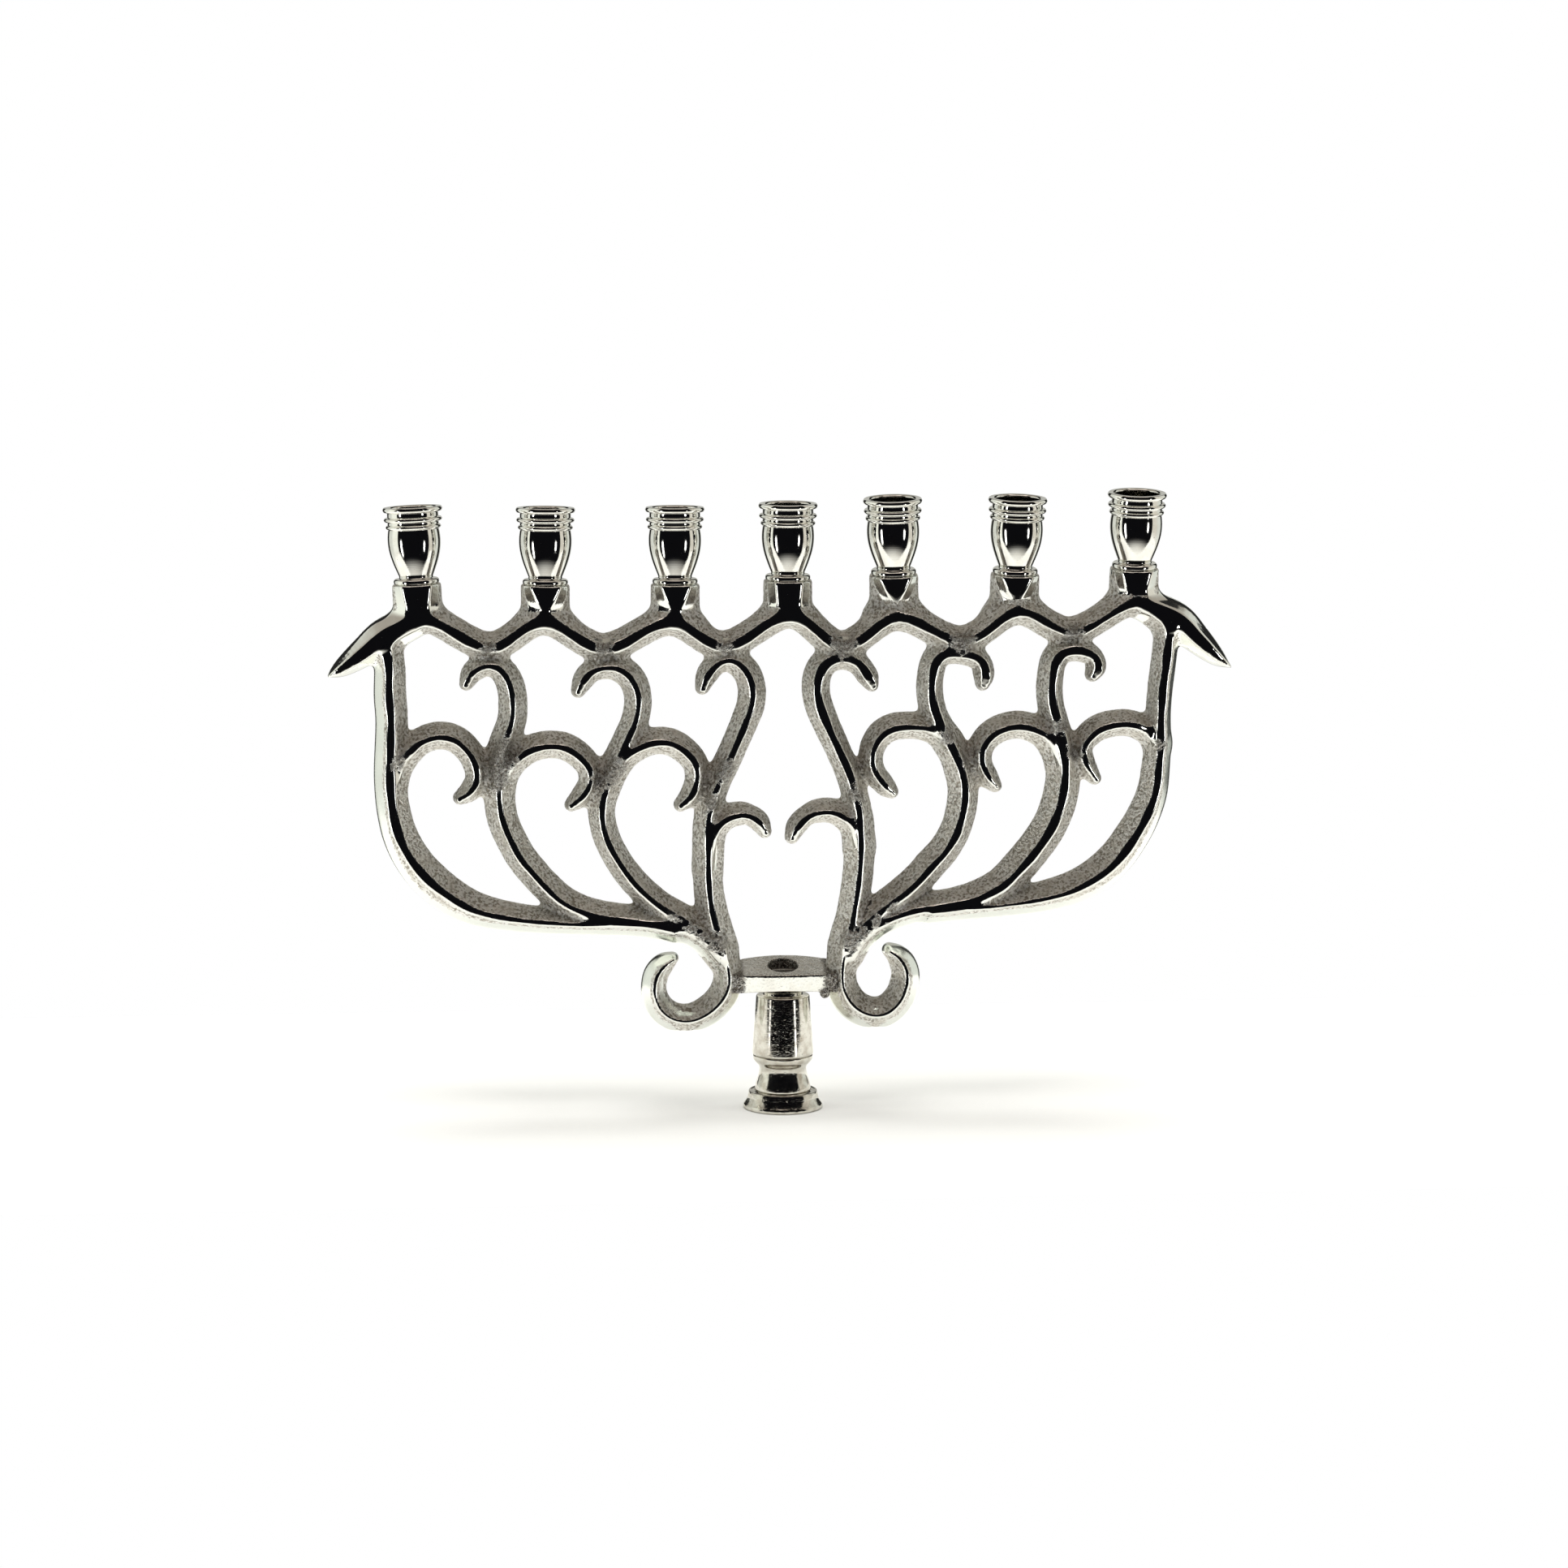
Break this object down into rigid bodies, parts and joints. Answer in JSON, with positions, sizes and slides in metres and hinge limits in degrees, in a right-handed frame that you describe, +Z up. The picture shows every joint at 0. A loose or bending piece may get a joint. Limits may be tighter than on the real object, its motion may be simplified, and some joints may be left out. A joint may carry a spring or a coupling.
{
  "type": "menorah",
  "caption": "Seven-light menorah head: scrolled cast arms under a zig-zag rail, ringed candle cups on studs, and a short turned stem with a flared foot.",
  "frame": {"origin": "centre of the foot ring's underside, on the stem's axis", "axes": "+X along the row of cups, to the right of someone facing the front; +Y from front to back; +Z up"},
  "size_m": [0.278, 0.0248, 0.1917],
  "materials": {
    "cast_nickel": "nickel plated casting, ridges and edges polished, walls as cast",
    "turned_nickel": "nickel plated turned brass, mirror polished",
    "fastener_steel": "plain machined steel"
  },
  "bodies": {
    "root": {"candle_rail": "cast_nickel", "left_outer_arm": "cast_nickel", "left_middle_arm": "cast_nickel", "left_inner_arm": "cast_nickel", "left_trunk_arm": "cast_nickel", "left_foot_scroll": "cast_nickel", "right_outer_arm": "cast_nickel", "right_middle_arm": "cast_nickel", "right_inner_arm": "cast_nickel", "right_trunk_arm": "cast_nickel", "right_foot_scroll": "cast_nickel", "bridge_boss": "cast_nickel", "stem_column": "turned_nickel", "stem_spool": "turned_nickel", "foot_ring": "turned_nickel", "tie_bolt": "fastener_steel", "tie_washer": "fastener_steel", "tie_nut": "fastener_steel", "cup_stud_1": "fastener_steel", "cup_stud_2": "fastener_steel", "cup_stud_3": "fastener_steel", "cup_stud_4": "fastener_steel", "cup_stud_5": "fastener_steel", "cup_stud_6": "fastener_steel", "cup_stud_7": "fastener_steel"},
    "cup_1": {"candle_cup_1": "turned_nickel"},
    "cup_2": {"candle_cup_2": "turned_nickel"},
    "cup_3": {"candle_cup_3": "turned_nickel"},
    "cup_4": {"candle_cup_4": "turned_nickel"},
    "cup_5": {"candle_cup_5": "turned_nickel"},
    "cup_6": {"candle_cup_6": "turned_nickel"},
    "cup_7": {"candle_cup_7": "turned_nickel"}
  },
  "joints": [
    {"name": "cup_1_lift", "type": "slide", "parent": "root", "child": "cup_1", "axis": [-0.0436, 0, 0.999], "range_m": [0, 0.012]},
    {"name": "cup_2_lift", "type": "slide", "parent": "root", "child": "cup_2", "axis": [0.0087, 0, 1], "range_m": [0, 0.012]},
    {"name": "cup_3_lift", "type": "slide", "parent": "root", "child": "cup_3", "axis": [0, 0, 1], "range_m": [0, 0.012]},
    {"name": "cup_4_lift", "type": "slide", "parent": "root", "child": "cup_4", "axis": [0, -0.0349, 0.9994], "range_m": [0, 0.012]},
    {"name": "cup_5_lift", "type": "slide", "parent": "root", "child": "cup_5", "axis": [-0.0261, -0.0872, 0.9959], "range_m": [0, 0.012]},
    {"name": "cup_6_lift", "type": "slide", "parent": "root", "child": "cup_6", "axis": [0.0174, -0.0872, 0.996], "range_m": [0, 0.012]},
    {"name": "cup_7_lift", "type": "slide", "parent": "root", "child": "cup_7", "axis": [0.0087, -0.1045, 0.9945], "range_m": [0, 0.012]}
  ]
}
